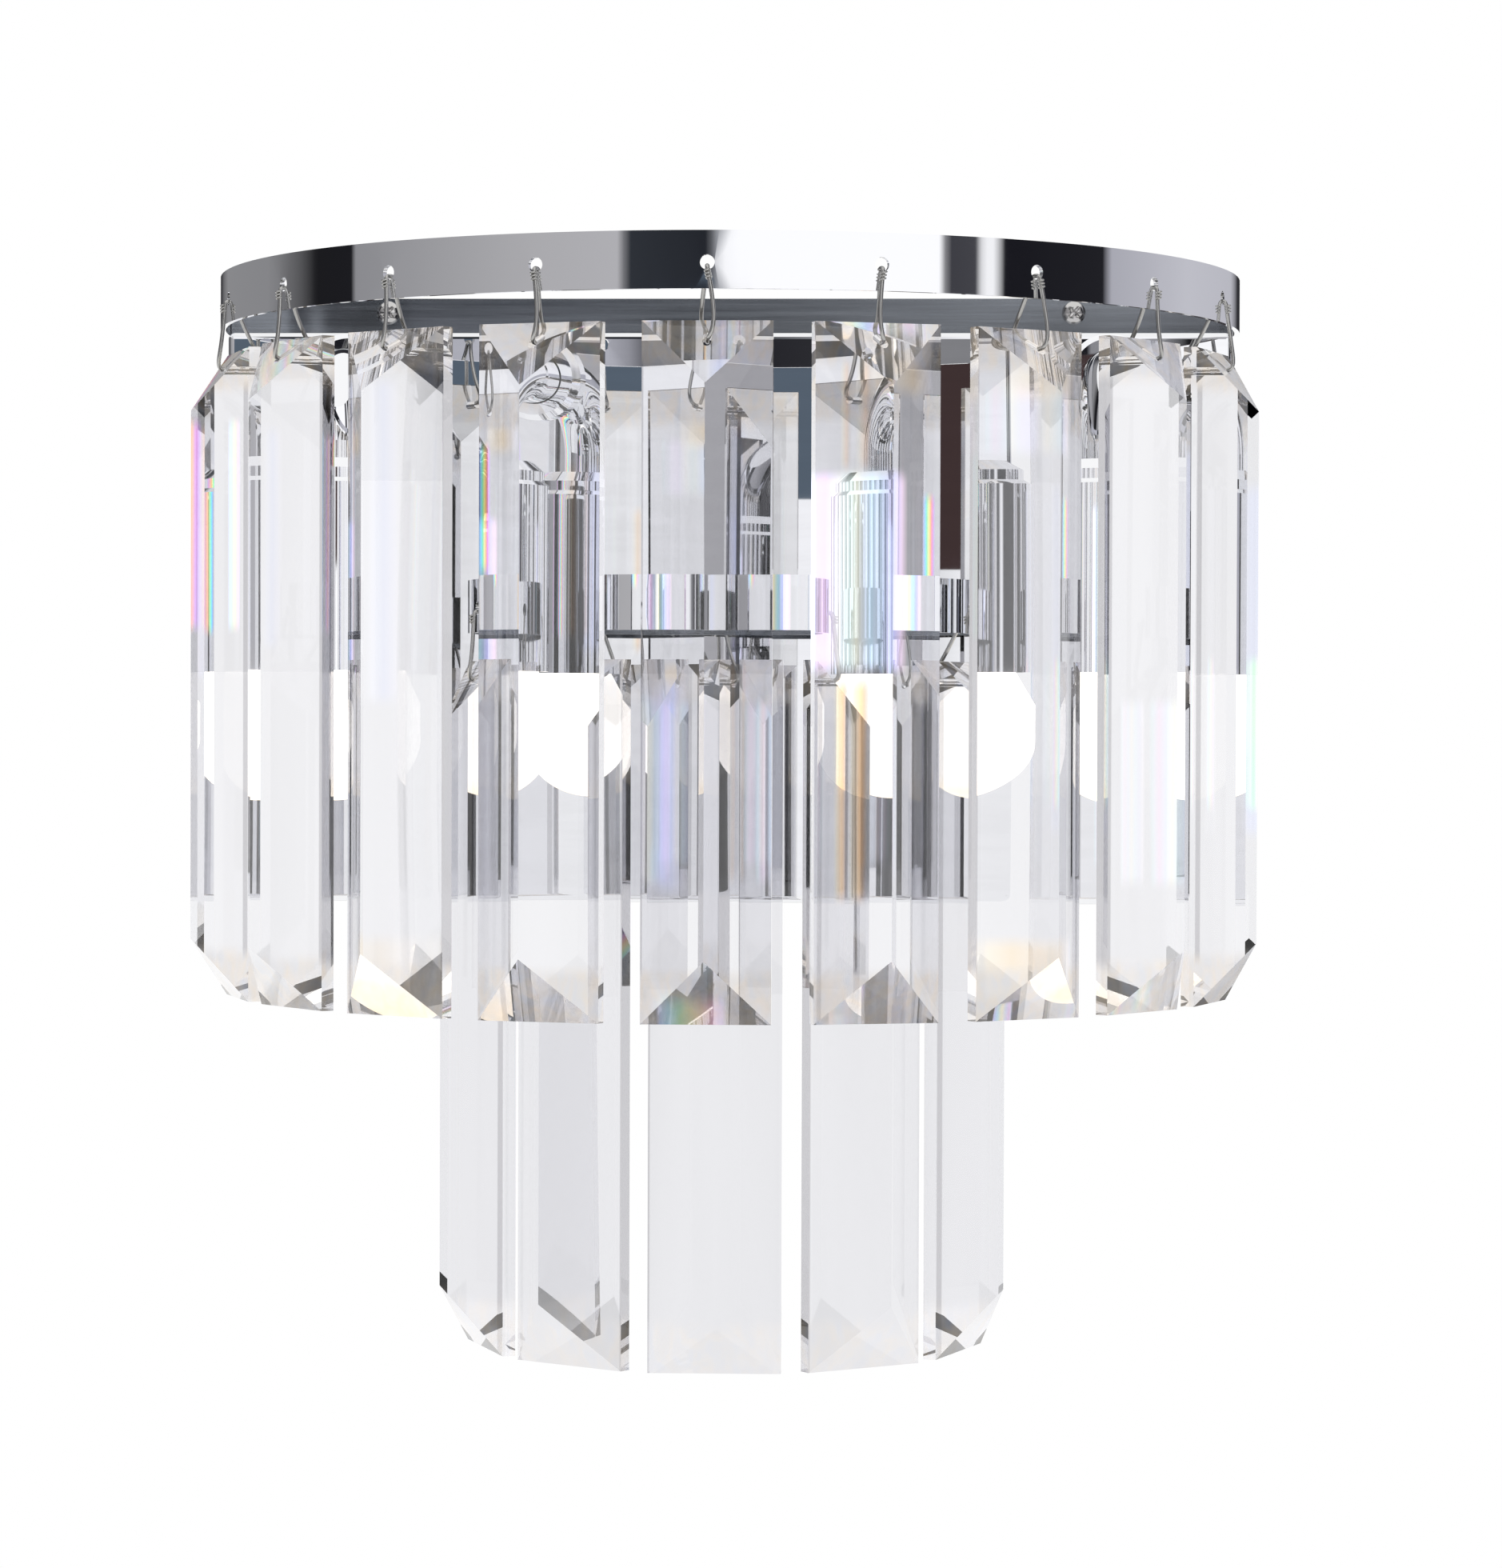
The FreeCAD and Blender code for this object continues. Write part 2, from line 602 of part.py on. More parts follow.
def make_arm(side, x):
    """A bent arm: out of the pan, round a quarter bend and down to the sleeve's top."""
    tail_depth = S.pan_depth - S.arm_tail
    bend_depth = S.lamp_depth - S.arm_bend
    low = SLEEVE_TOP - S.sleeve_wall
    radius = S.arm_dia / 2
    out = doc.addObject("Part::Cylinder", f"arm_{side}_out")
    bind(out, Radius=radius, Height=bend_depth - tail_depth)
    start = FreeCAD.Vector(x.value, -tail_depth.value, ARM_Z.value)
    out.Placement = FreeCAD.Placement(start, FreeCAD.Rotation(UP, FRONT))
    down = doc.addObject("Part::Cylinder", f"arm_{side}_down")
    bind(down, Radius=radius, Height=ARM_Z - S.arm_bend - low)
    place(down, x, -S.lamp_depth, low)
    corner = doc.addObject("Part::Torus", f"arm_{side}_bend")
    bind(corner, Radius1=S.arm_bend, Radius2=radius)
    corner.Angle3 = 90
    turn = FreeCAD.Rotation(FRONT, UP, FreeCAD.Vector(-1, 0, 0), "XYZ")
    centre = FreeCAD.Vector(x.value, -bend_depth.value, (ARM_Z - S.arm_bend).value)
    corner.Placement = FreeCAD.Placement(centre, turn)
    arm = doc.addObject("Part::MultiFuse", f"lamp_arm_{side}")
    arm.Shapes = [out, corner, down]
    keep(arm, f"lamp_arm_{side}")
    doc.recompute()


def make_rosette(side, x):
    """A turned ring round the arm on the pan's front."""
    bore = (S.arm_dia + S.arm_hole_play) / 2
    rim = S.rosette_dia / 2
    height, bevel = S.rosette_height, S.rosette_bevel
    body = turned(f"arm_rosette_{side}", [
        (bore, 0), (rim, 0), (rim, height - bevel), (rim - bevel, height), (bore, height)])
    body.Placement = FreeCAD.Placement(
        FreeCAD.Vector(x.value, -S.pan_depth.value, ARM_Z.value), FreeCAD.Rotation(UP, FRONT))


def make_nut(side, x):
    """A hexagon nut that pulls the arm's tail tight from inside the pan."""
    body = body_named(f"arm_nut_{side}")
    sketch = sketch_on(body, "XY_Plane")
    reach = S.nut_flats / math.sqrt(3)
    corners = []
    for index in range(NUT_SIDES):
        turn = math.tau * index / NUT_SIDES
        corners.append((reach * math.cos(turn), reach * math.sin(turn)))
    outline(sketch, corners)
    circle(sketch, 0, 0, S.arm_dia + S.nut_gap * 2)
    pad(body, sketch, S.nut_height)
    depth = S.pan_depth - S.pan_wall - S.nut_height
    body.Placement = FreeCAD.Placement(
        FreeCAD.Vector(x.value, -depth.value, ARM_Z.value), FreeCAD.Rotation(UP, FRONT))


def make_lamp(side, x):
    """Collar, sleeve, socket and bulb under one arm."""
    axis_y = -S.lamp_depth
    bore = S.arm_dia / 2 + S.collar_gap
    rim = S.collar_dia / 2
    bevel = S.collar_bevel
    collar = turned(f"lamp_collar_{side}", [
        (bore, 0), (rim, 0), (rim, S.collar_height - bevel), (rim - bevel, S.collar_height),
        (bore, S.collar_height)])
    place(collar, x, axis_y, SLEEVE_TOP)
    out = S.sleeve_dia / 2
    wall = S.sleeve_wall
    sleeve = turned(f"lamp_sleeve_{side}", [
        (bore, 0), (bore, -wall), (out - wall, -wall), (out - wall, -S.sleeve_length),
        (out, -S.sleeve_length), (out, -wall), (out - wall, 0)])
    place(sleeve, x, axis_y, SLEEVE_TOP)
    skin = out - wall - S.socket_gap
    way = S.cap_dia / 2 + S.cap_gap
    length = S.socket_floor + S.cap_length
    socket = turned(f"lamp_socket_{side}", [
        (0, 0), (skin, 0), (skin, -length), (way, -length),
        (way, -S.socket_floor), (0, -S.socket_floor)])
    place(socket, x, axis_y, SLEEVE_TOP - wall)
    cap_top = SLEEVE_TOP - wall - S.socket_floor - S.cap_gap
    make_bulb(side, x, axis_y, cap_top)


def make_bulb(side, x, axis_y, cap_top):
    """A small globe lamp: its screw cap, and the glass that swells below the sleeve."""
    barrel = S.cap_dia / 2
    tip = S.cap_tip_dia / 2
    cap = turned(f"bulb_cap_{side}", [
        (0, 0), (tip, 0), (barrel, -S.cap_tip_height), (barrel, -S.cap_length), (0, -S.cap_length)])
    place(cap, x, axis_y, cap_top)
    low = SLEEVE_MOUTH - S.bulb_reach
    top = cap_top - S.cap_length - low
    wide = S.bulb_dia / 2
    throat = S.sleeve_dia / 2 - S.sleeve_wall - S.bulb_mouth_gap
    glass = turned(f"bulb_glass_{side}", [
        (wide, S.bulb_shoulder), (throat, S.bulb_reach + S.bulb_mouth_gap), (barrel, top)],
        nose=wide)
    place(glass, x, axis_y, low)


# ---------------------------------------------------------------- inside the pan

def make_terminal_block():
    """A two-pole block behind the pan's front, with a way through it for each pole."""
    body = body_named("terminal_block")
    sketch = sketch_on(body, "XZ_Plane")
    box_outline(sketch, S.terminal_width / 2, -S.terminal_height / 2, S.terminal_height / 2)
    pad(body, sketch, S.terminal_depth)
    ways = sketch_on(body, "XY_Plane", -S.terminal_height / 2)
    for side in (-1, 0, 1):
        circle(ways, S.terminal_pitch * side, -S.terminal_depth / 2, S.terminal_hole_dia)
    pocket(body, ways, S.terminal_height, True)
    place(body, 0, -(S.pan_depth - S.pan_wall - S.terminal_depth), -S.terminal_drop)


def make_earth_screw():
    """The earth terminal's screw, seated on the bracket's plate."""
    screw = make_screw("earth_screw")
    spot = FreeCAD.Vector(S.earth_screw_offset.value, -(FLANGE_DEPTH + S.strip_wall).value, 0)
    screw.Placement = FreeCAD.Placement(spot, FreeCAD.Rotation(UP, FRONT))


# ---------------------------------------------------------------- the whole lamp

def check_model():
    """Stop on a failed object or an unsound sub-part."""
    for item in doc.Objects:
        if "Invalid" in item.State or "Error" in item.State:
            raise RuntimeError(f"{item.Label} has failed")
    for piece in subparts:
        if piece.Shape.isNull() or not piece.Shape.isValid():
            raise RuntimeError(f"{piece.Label} has no sound shape")


def write_parts():
    os.makedirs("parts", exist_ok=True)
    for piece in subparts:
        piece.Shape.exportStep(f"parts/{piece.Label}.step")
        print(piece.Label, len(piece.Shape.Solids), round(piece.Shape.Volume, 1))


def main():
    make_bracket()
    make_pan()
    make_terminal_block()
    make_earth_screw()
    make_band("upper_band", S.band_radius, UPPER_BAND_Z, FLANGE_DEPTH, UPPER_COUNT, S.upper_pitch)
    make_band("lower_band", S.lower_radius, LOWER_BAND_Z, S.pan_depth, LOWER_COUNT, S.lower_pitch)
    make_strip("upper_strip", S.band_radius, UPPER_BAND_Z, FLANGE_DEPTH, S.frame_screw_offset)
    make_strip("lower_strip", S.lower_radius, LOWER_BAND_Z, S.pan_depth, S.lower_screw_offset)
    make_screw_pair("upper_strip_screws", S.frame_screw_offset, SCREW_Z, FLANGE_DEPTH + S.strip_wall)
    lower_screw_z = LOWER_BAND_Z + S.hook_hole_height
    make_screw_pair("lower_strip_screws", S.lower_screw_offset, lower_screw_z, S.pan_depth + S.strip_wall)
    for side, sign in SIDES:
        x = LAMP_X * sign
        make_arm(side, x)
        make_nut(side, x)
        make_rosette(side, x)
        make_lamp(side, x)
    make_pendants(
        "upper", UPPER_COUNT, S.upper_pitch.value, S.band_radius, FLANGE_DEPTH, UPPER_BAND_Z)
    make_pendants(
        "lower", LOWER_COUNT, S.lower_pitch.value, S.lower_radius, S.pan_depth, LOWER_BAND_Z)
    doc.recompute()
    check_model()
    write_parts()


main()
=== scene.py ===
import math
import random

import bpy
from mathutils import Matrix, Vector


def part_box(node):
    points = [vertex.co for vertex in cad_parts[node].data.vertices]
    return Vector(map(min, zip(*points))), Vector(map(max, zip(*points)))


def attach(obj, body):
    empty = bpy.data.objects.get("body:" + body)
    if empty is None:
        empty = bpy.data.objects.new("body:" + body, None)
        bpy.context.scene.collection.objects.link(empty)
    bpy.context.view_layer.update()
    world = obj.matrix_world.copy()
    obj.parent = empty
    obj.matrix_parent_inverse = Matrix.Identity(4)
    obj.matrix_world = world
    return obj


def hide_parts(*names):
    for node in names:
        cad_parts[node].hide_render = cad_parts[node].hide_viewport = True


# Crystal wall sconce in front of a white background. Metres, +Z up, the front faces -Y.

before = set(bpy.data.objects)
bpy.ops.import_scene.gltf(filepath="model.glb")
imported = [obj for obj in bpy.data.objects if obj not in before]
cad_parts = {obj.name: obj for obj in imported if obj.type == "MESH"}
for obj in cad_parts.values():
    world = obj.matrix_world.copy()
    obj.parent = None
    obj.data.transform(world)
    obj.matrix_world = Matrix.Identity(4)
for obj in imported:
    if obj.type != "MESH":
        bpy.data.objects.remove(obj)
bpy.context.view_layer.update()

MM = 0.001
SEED = 7
SIDES = ("left", "right")

# The two tiers: how many crystals hang in each, which is the middle one, and the band that they
# hang from, in millimetres.
COUNT = {"upper": 9, "lower": 5}
MIDDLE = {"upper": 5, "lower": 3}
BAND_CENTRE_Y = {"upper": -3.2, "lower": -16.0}
BAND_RADIUS = {"upper": 121.2, "lower": 61.3}
BAND_WALL = 1.2


def hanging(tier, kind):
    """The names of a tier's crystals or hooks."""
    return [f"{tier}_{kind}_{number}" for number in range(1, COUNT[tier] + 1)]


def tier_of(node):
    return node.split("_")[0]


def band_centre(tier):
    return Vector((0, BAND_CENTRE_Y[tier], 0)) * MM


def own_frame(node):
    """A hanging piece's place on its ring: its middle, and its turn about the vertical."""
    low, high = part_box(node)
    spot = (low + high) / 2
    centre = band_centre(tier_of(node))
    return spot, math.atan2(spot.x - centre.x, -(spot.y - centre.y))


def add_object(name, data):
    piece = bpy.data.objects.new(name, data)
    bpy.context.scene.collection.objects.link(piece)
    return piece


def add_mesh(name, verts, faces, material):
    mesh = bpy.data.meshes.new(name)
    mesh.from_pydata(verts, [], faces)
    mesh.materials.append(material)
    return add_object(name, mesh)


# ---------------------------------------------------------------- camera

PHOTO_SIZE = (1878, 1960)
FOCAL_PIXELS = 5566.0
SENSOR = 36.0
CAMERA_SPOT = Vector((0.0438, -1.0698, -0.0230))
CAMERA_YAW = 0.0361
CAMERA_PITCH = -0.0155
CAMERA_ROLL = 0.0032


def make_camera():
    data = bpy.data.cameras.new("photo_camera")
    data.sensor_fit = "VERTICAL"
    data.sensor_height = SENSOR
    data.lens = FOCAL_PIXELS / PHOTO_SIZE[1] * SENSOR
    data.clip_start = 0.01
    data.clip_end = 50.0
    camera = add_object("photo_camera", data)
    turn = Matrix.Rotation(CAMERA_YAW, 4, "Z") @ Matrix.Rotation(math.pi / 2 + CAMERA_PITCH, 4, "X")
    turn = turn @ Matrix.Rotation(CAMERA_ROLL, 4, "Z")
    camera.matrix_world = Matrix.Translation(CAMERA_SPOT) @ turn
    bpy.context.scene.camera = camera


# ---------------------------------------------------------------- materials

class Nodes:
    """A node tree, with short ways to add and join nodes."""

    def __init__(self, owner, output):
        owner.use_nodes = True
        self.tree = owner.node_tree
        self.tree.nodes.clear()
        self.output = self.tree.nodes.new(output)

    def add(self, kind, **settings):
        """A node, with its own settings and its inputs' values, a space in a name written as _."""
        node = self.tree.nodes.new(kind)
        for key, value in settings.items():
            if hasattr(node, key):
                setattr(node, key, value)
            else:
                node.inputs[key.replace("_", " ")].default_value = value
        return node

    def join(self, source, target):
        self.tree.links.new(source, target)

    def feed(self, value, socket):
        """Join a node's output to a socket, or set the socket to a plain value."""
        if isinstance(value, bpy.types.NodeSocket):
            self.join(value, socket)
        else:
            socket.default_value = value

    def surface(self, node):
        self.join(node.outputs[0], self.output.inputs["Surface"])

    def shader(self, **values):
        node = self.add("ShaderNodeBsdfPrincipled", **values)
        self.surface(node)
        return node

    def emission(self, colour):
        node = self.add("ShaderNodeEmission")
        self.feed(colour, node.inputs["Color"])
        self.surface(node)

    def mix_shaders(self, factor, first, second):
        """The first shader where the factor is 0, and the second where it is 1."""
        mix = self.add("ShaderNodeMixShader")
        self.join(factor, mix.inputs["Fac"])
        self.join(first.outputs[0], mix.inputs[1])
        self.join(second.outputs[0], mix.inputs[2])
        self.surface(mix)

    def place(self):
        """The spot in the piece's own space."""
        return self.add("ShaderNodeTexCoord").outputs["Object"]

    def split(self, vector):
        node = self.add("ShaderNodeSeparateXYZ")
        self.join(vector, node.inputs["Vector"])
        return node.outputs

    def noise(self, scale, detail=2.0, stretch=(1, 1, 1), roughness=0.5):
        """Noise in the piece's own space, in cells per metre."""
        mapping = self.add("ShaderNodeMapping", Scale=stretch)
        self.join(self.place(), mapping.inputs["Vector"])
        noise = self.add("ShaderNodeTexNoise", Scale=scale, Detail=detail, Roughness=roughness)
        self.join(mapping.outputs["Vector"], noise.inputs["Vector"])
        return noise.outputs["Fac"]

    def ramp(self, factor, stops):
        node = self.add("ShaderNodeValToRGB")
        elements = node.color_ramp.elements
        while len(elements) < len(stops):
            elements.new(0.5)
        for element, (spot, colour) in zip(elements, stops):
            element.position = spot
            element.color = colour
        self.join(factor, node.inputs["Fac"])
        return node.outputs["Color"]

    def span(self, factor, low, high):
        """0 to 1 stretched to reach from low to high."""
        node = self.add("ShaderNodeMapRange", To_Min=low, To_Max=high)
        self.join(factor, node.inputs["Value"])
        return node.outputs["Result"]

    def step(self, value, low, high):
        """A smooth rise from 0 to 1 between two values."""
        node = self.add("ShaderNodeMapRange", interpolation_type="SMOOTHSTEP", From_Min=low, From_Max=high)
        self.join(value, node.inputs["Value"])
        return node.outputs["Result"]

    def window(self, value, low, high, soft):
        """1 between two values and 0 outside them, with soft sides."""
        rise = self.step(value, low - soft, low + soft)
        fall = self.step(value, high - soft, high + soft)
        return self.math("SUBTRACT", rise, fall)

    def math(self, operation, *values):
        node = self.add("ShaderNodeMath", operation=operation)
        for value, socket in zip(values, node.inputs):
            self.feed(value, socket)
        return node.outputs[0]

    def blend(self, factor, first, second):
        """The first colour where the factor is 0, and the second where it is 1."""
        node = self.add("ShaderNodeMix", data_type="RGBA")
        sockets = {socket.identifier: socket for socket in node.inputs}
        self.feed(factor, sockets["Factor_Float"])
        self.feed(first, sockets["A_Color"])
        self.feed(second, sockets["B_Color"])
        return next(socket for socket in node.outputs if socket.identifier == "Result_Color")

    def bump(self, height, distance, strength):
        node = self.add("ShaderNodeBump", Distance=distance, Strength=strength)
        self.join(height, node.inputs["Height"])
        return node.outputs["Normal"]

    def any_ray(self, *kinds):
        """1 for a ray of any of these kinds, and 0 for the rest."""
        path = self.add("ShaderNodeLightPath")
        found = path.outputs[kinds[0]]
        for kind in kinds[1:]:
            found = self.math("MAXIMUM", found, path.outputs[kind])
        return found


def new_material(name):
    material = bpy.data.materials.new(name)
    return material, Nodes(material, "ShaderNodeOutputMaterial")


def grey(level):
    return (level, level, level, 1.0)


def scaled(colour, *factors):
    """A colour times one factor, or times one for each channel, as an opaque colour."""
    if len(factors) == 1:
        factors *= 3
    return (*(level * factor for level, factor in zip(colour, factors)), 1.0)


def polished_chrome(name, colour, rough_low, rough_high):
    """Bright plated metal with faint polishing marks and a very slight waviness."""
    material, nodes = new_material(name)
    shader = nodes.shader(Metallic=1.0, Base_Color=(*colour, 1.0))
    smudges = nodes.noise(70.0, detail=4.0)
    nodes.join(nodes.span(smudges, rough_low, rough_high), shader.inputs["Roughness"])
    waves = nodes.noise(24.0, detail=1.0)
    nodes.join(nodes.bump(waves, distance=0.00004, strength=0.6), shader.inputs["Normal"])
    return material


def mirror_chrome(name, colour):
    """Flat mirror plating with fine wiping marks."""
    material, nodes = new_material(name)
    shader = nodes.shader(Metallic=1.0)
    wiping = nodes.noise(260.0, detail=5.0, stretch=(0.15, 1.0, 1.0), roughness=0.6)
    tone = nodes.ramp(wiping, [(0.4, scaled(colour, 0.965)), (0.6, (*colour, 1.0))])
    nodes.join(tone, shader.inputs["Base Color"])
    nodes.join(nodes.span(wiping, 0.0, 0.022), shader.inputs["Roughness"])
    return material


def brushed_steel(name, colour, stretch, roughness):
    """Plated metal with fine brushing along one direction."""
    material, nodes = new_material(name)
    shader = nodes.shader(Metallic=1.0)
    grain = nodes.noise(900.0, detail=6.0, stretch=stretch, roughness=0.7)
    tone = nodes.ramp(grain, [(0.3, scaled(colour, 0.72)), (0.7, (*colour, 1.0))])
    nodes.join(tone, shader.inputs["Base Color"])
    nodes.join(nodes.span(grain, roughness * 0.7, roughness * 1.3), shader.inputs["Roughness"])
    nodes.join(nodes.bump(grain, distance=0.00002, strength=0.5), shader.inputs["Normal"])
    return material


def moulded_plastic(name, colour):
    """Matt moulded plastic with a fine grain."""
    material, nodes = new_material(name)
    shader = nodes.shader(Roughness=0.5)
    shade = nodes.noise(40.0, detail=3.0)
    tone = nodes.ramp(shade, [(0.35, scaled(colour, 0.93)), (0.65, (*colour, 1.0))])
    nodes.join(tone, shader.inputs["Base Color"])
    grain = nodes.noise(1600.0)
    nodes.join(nodes.bump(grain, distance=0.00003, strength=0.4), shader.inputs["Normal"])
    return material


# The lit bulb's warm ends, in metres down from its neck and up from its tip.
WARM_NECK, WARM_TIP = 9 * MM, 8 * MM
TIP_WARMTH = 0.45
FROSTING = 0.12
BULB_GLOW = [(0.1, (1.0, 0.97, 0.90, 1.0)), (0.55, (1.0, 0.82, 0.55, 1.0)), (1.0, (0.70, 0.42, 0.20, 1.0))]


def lit_bulb(name):
    """Frosted glass lit from inside, whitest round its middle and warmer at its neck and tip."""
    material, nodes = new_material(name)
    shader = nodes.shader(Roughness=0.35, Base_Color=(1.0, 0.95, 0.88, 1.0), Emission_Strength=1.2)
    low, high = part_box("bulb_glass_left")
    height = nodes.split(nodes.place())["Z"]
    neck = nodes.step(height, high.z - WARM_NECK, high.z)
    above_tip = nodes.step(height, low.z, low.z + WARM_TIP)
    tip = nodes.math("MULTIPLY_ADD", above_tip, -TIP_WARMTH, TIP_WARMTH)
    ends = nodes.math("MAXIMUM", neck, tip)
    frosting = nodes.noise(500.0, detail=3.0)
    shade = nodes.math("MULTIPLY_ADD", frosting, FROSTING, ends)
    nodes.join(nodes.ramp(shade, BULB_GLOW), shader.inputs["Emission Color"])
    return material


# ---------------------------------------------------------------- crystal glass

GLASS_IOR = 1.53
# The glass's colour: a tint with painted shade in it, deeper on the lower tier.
GLASS_TINT_AND_SHADE = {"upper": (0.87, 0.87, 0.89), "lower": (0.80, 0.80, 0.825)}
STREAK_LIFT = 1.035
STREAK_WOBBLE = 2.4

# The painted shade line, a dark line painted along a crystal's inner edge: its reach as shares of the
# crystal's half width.
EDGE_FROM, EDGE_TO = 0.972, 1.05
EDGE_SOFT = 0.12
EDGE_SHADE_STRENGTH = 0.75
EDGE_SHADE_COLOUR = (0.30, 0.29, 0.31, 1.0)

# The end facets, in millimetres in from the crystal's foot and top, and how deep their painted shade is;
# then their painted glints, which glow.
FOOT_FACET, TOP_FACET, PAST_END = 11, 9, 1
FACET_SOFT = 2.0
FACET_PAINTED_SHADE = 0.8
FACET_SHADE_DEPTH = {"upper": 1.0, "lower": 0.35}
FACET_GLINT_GLOW = 0.05
PAINTED_FACET_GLINTS = [
    (0.38, (0.72, 0.66, 0.60, 1.0)), (0.47, (1.0, 0.84, 0.62, 1.0)), (0.54, (0.95, 0.95, 0.97, 1.0)),
    (0.62, (0.62, 0.72, 0.95, 1.0)), (0.7, (0.80, 0.74, 0.70, 1.0))]

# Colours of the painted fire: painted split light and painted reflections.
SPECTRUM = [
    (0.0, (0.30, 0.45, 1.0, 1.0)), (0.18, (0.25, 0.80, 0.95, 1.0)), (0.34, (0.35, 0.95, 0.45, 1.0)),
    (0.5, (1.0, 0.95, 0.35, 1.0)), (0.66, (1.0, 0.55, 0.20, 1.0)), (0.82, (0.95, 0.30, 0.62, 1.0)),
    (1.0, (0.55, 0.35, 0.95, 1.0))]
PASTEL = [
    (0.0, (0.55, 0.86, 0.90, 1.0)), (0.17, (0.92, 0.62, 0.86, 1.0)), (0.33, (0.70, 0.80, 0.98, 1.0)),
    (0.48, (1.0, 0.92, 0.62, 1.0)), (0.62, (0.55, 0.86, 0.95, 1.0)), (0.8, (0.60, 0.62, 0.98, 1.0)),
    (1.0, (0.95, 0.75, 0.85, 1.0))]
BLUE = [(0.0, (0.93, 0.94, 1.0, 1.0)), (0.5, (0.72, 0.77, 1.0, 1.0)), (1.0, (0.93, 0.92, 1.0, 1.0))]
FLAME = [(0.0, (1.0, 0.92, 0.62, 1.0)), (0.6, (1.0, 0.50, 0.14, 1.0)), (1.0, (0.42, 0.26, 0.20, 1.0))]
GOLD = [(0.0, (1.0, 0.94, 0.84, 1.0)), (0.5, (0.90, 0.74, 0.52, 1.0)), (1.0, (0.93, 0.93, 1.0, 1.0))]

# Painted fire, the split light and reflections painted on the glass: the colours, from where to where
# across the crystal from its middle, from where to where in height above the origin, in millimetres, and
# how strongly.
PAINTED_FIRE = {
    "upper_crystal_1": [(SPECTRUM, -4.0, 3.0, -3.0, 44.0, 1.0)],
    "upper_crystal_2": [(BLUE, 3.0, 6.0, -8.0, 40.0, 0.5)],
    "upper_crystal_3": [(BLUE, -13.5, -8.5, -20.0, 50.0, 0.6), (GOLD, -3.0, 10.0, -92.0, -72.0, 0.5)],
    "upper_crystal_4": [
        (SPECTRUM, -14.8, -11.2, 8.0, 34.0, 0.8), (FLAME, 7.0, 9.0, -6.0, 30.0, 0.45),
        (BLUE, 8.6, 13.0, -9.0, 30.0, 0.9), (GOLD, -11.0, -1.0, -82.0, -79.0, 0.9)],
    "upper_crystal_5": [
        (BLUE, -10.0, -4.0, -60.0, -16.0, 0.9), (FLAME, 5.0, 6.4, -58.0, -12.0, 0.30),
        (SPECTRUM, -10.0, 4.0, -92.0, -83.0, 0.35), (GOLD, -12.0, -3.0, -82.0, -79.0, 0.8)],
    "upper_crystal_6": [
        (PASTEL, -14.0, 3.5, -13.0, 28.0, 1.0), (FLAME, -6.5, -3.6, -62.0, -16.0, 0.9),
        (FLAME, -5.5, -3.5, 30.0, 54.0, 0.5), (GOLD, 0.0, 12.0, 46.0, 62.0, 0.8)],
    "upper_crystal_7": [
        (PASTEL, -9.0, 5.0, 34.0, 48.0, 0.22), (GOLD, -12.0, 8.0, -84.0, -72.0, 0.8),
        (GOLD, -4.0, 10.0, 46.0, 62.0, 0.8)],
    "upper_crystal_8": [(PASTEL, -6.0, 2.0, -60.0, -20.0, 0.35), (GOLD, -6.0, 8.0, -92.0, -78.0, 0.7)],
    "upper_crystal_9": [(BLUE, -4.0, 2.0, -50.0, 30.0, 0.5), (SPECTRUM, -3.0, 1.0, -44.0, -10.0, 0.35)],
    "lower_crystal_3": [(PASTEL, -8.0, 8.0, -60.0, -20.0, 0.25)],
}
FIRE_SOFT_SIDE, FIRE_SOFT_END = 0.7, 2.2
# How strongly the painted fire glows: the spectrum and pastel colours strongly, the rest faintly.
PAINTED_GLOW_VIVID, PAINTED_GLOW_FAINT = 0.32, 0.05


def crystal_axes(nodes, spot, angle):
    """How far a point is across a crystal's face and up from the origin, in millimetres."""
    mapping = nodes.add("ShaderNodeMapping", vector_type="TEXTURE", Location=(spot.x, spot.y, 0.0),
                        Rotation=(0.0, 0.0, angle), Scale=(MM, MM, MM))
    nodes.join(nodes.place(), mapping.inputs["Vector"])
    axes = nodes.split(mapping.outputs["Vector"])
    return axes["X"], axes["Z"]


def paint_fire(nodes, painted_fire, across, up, colour):
    """Paint a crystal's fire, painted split light and reflections, over its colour. Gives that colour, and
    the painted glow that the fire gives off.
    """
    painted_glow = grey(0.0)
    for stops, left, right, low, high, strength in painted_fire:
        share = nodes.math("DIVIDE", nodes.math("SUBTRACT", across, left), right - left)
        inside = nodes.math("MULTIPLY", nodes.window(across, left, right, FIRE_SOFT_SIDE),
                            nodes.window(up, low, high, FIRE_SOFT_END))
        mask = nodes.math("MULTIPLY", inside, strength)
        painted_split_light = nodes.ramp(share, stops)
        colour = nodes.blend(mask, colour, painted_split_light)
        lift = PAINTED_GLOW_VIVID if stops in (SPECTRUM, PASTEL) else PAINTED_GLOW_FAINT
        painted_glow = nodes.blend(nodes.math("MULTIPLY", mask, lift), painted_glow, painted_split_light)
    return colour, painted_glow


def inner_edge_shade(nodes, node, spot, across):
    """1 along the crystal's edge that is nearer the lamp's middle, where a painted shade line goes."""
    tier = tier_of(node)
    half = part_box(f"{tier}_crystal_{MIDDLE[tier]}")[1].x / MM
    inner = half if spot.x < 0 else -half
    return nodes.window(across, *sorted((inner * EDGE_FROM, inner * EDGE_TO)), EDGE_SOFT)


def end_facets(nodes, node, up):
    """1 on the crystal's ground ends, where painted shade and painted glints go."""
    foot, top = (corner.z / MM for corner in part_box(node))
    return nodes.math("MAXIMUM", nodes.window(up, foot - PAST_END, foot + FOOT_FACET, FACET_SOFT),
                      nodes.window(up, top - TOP_FACET, top + PAST_END, FACET_SOFT))


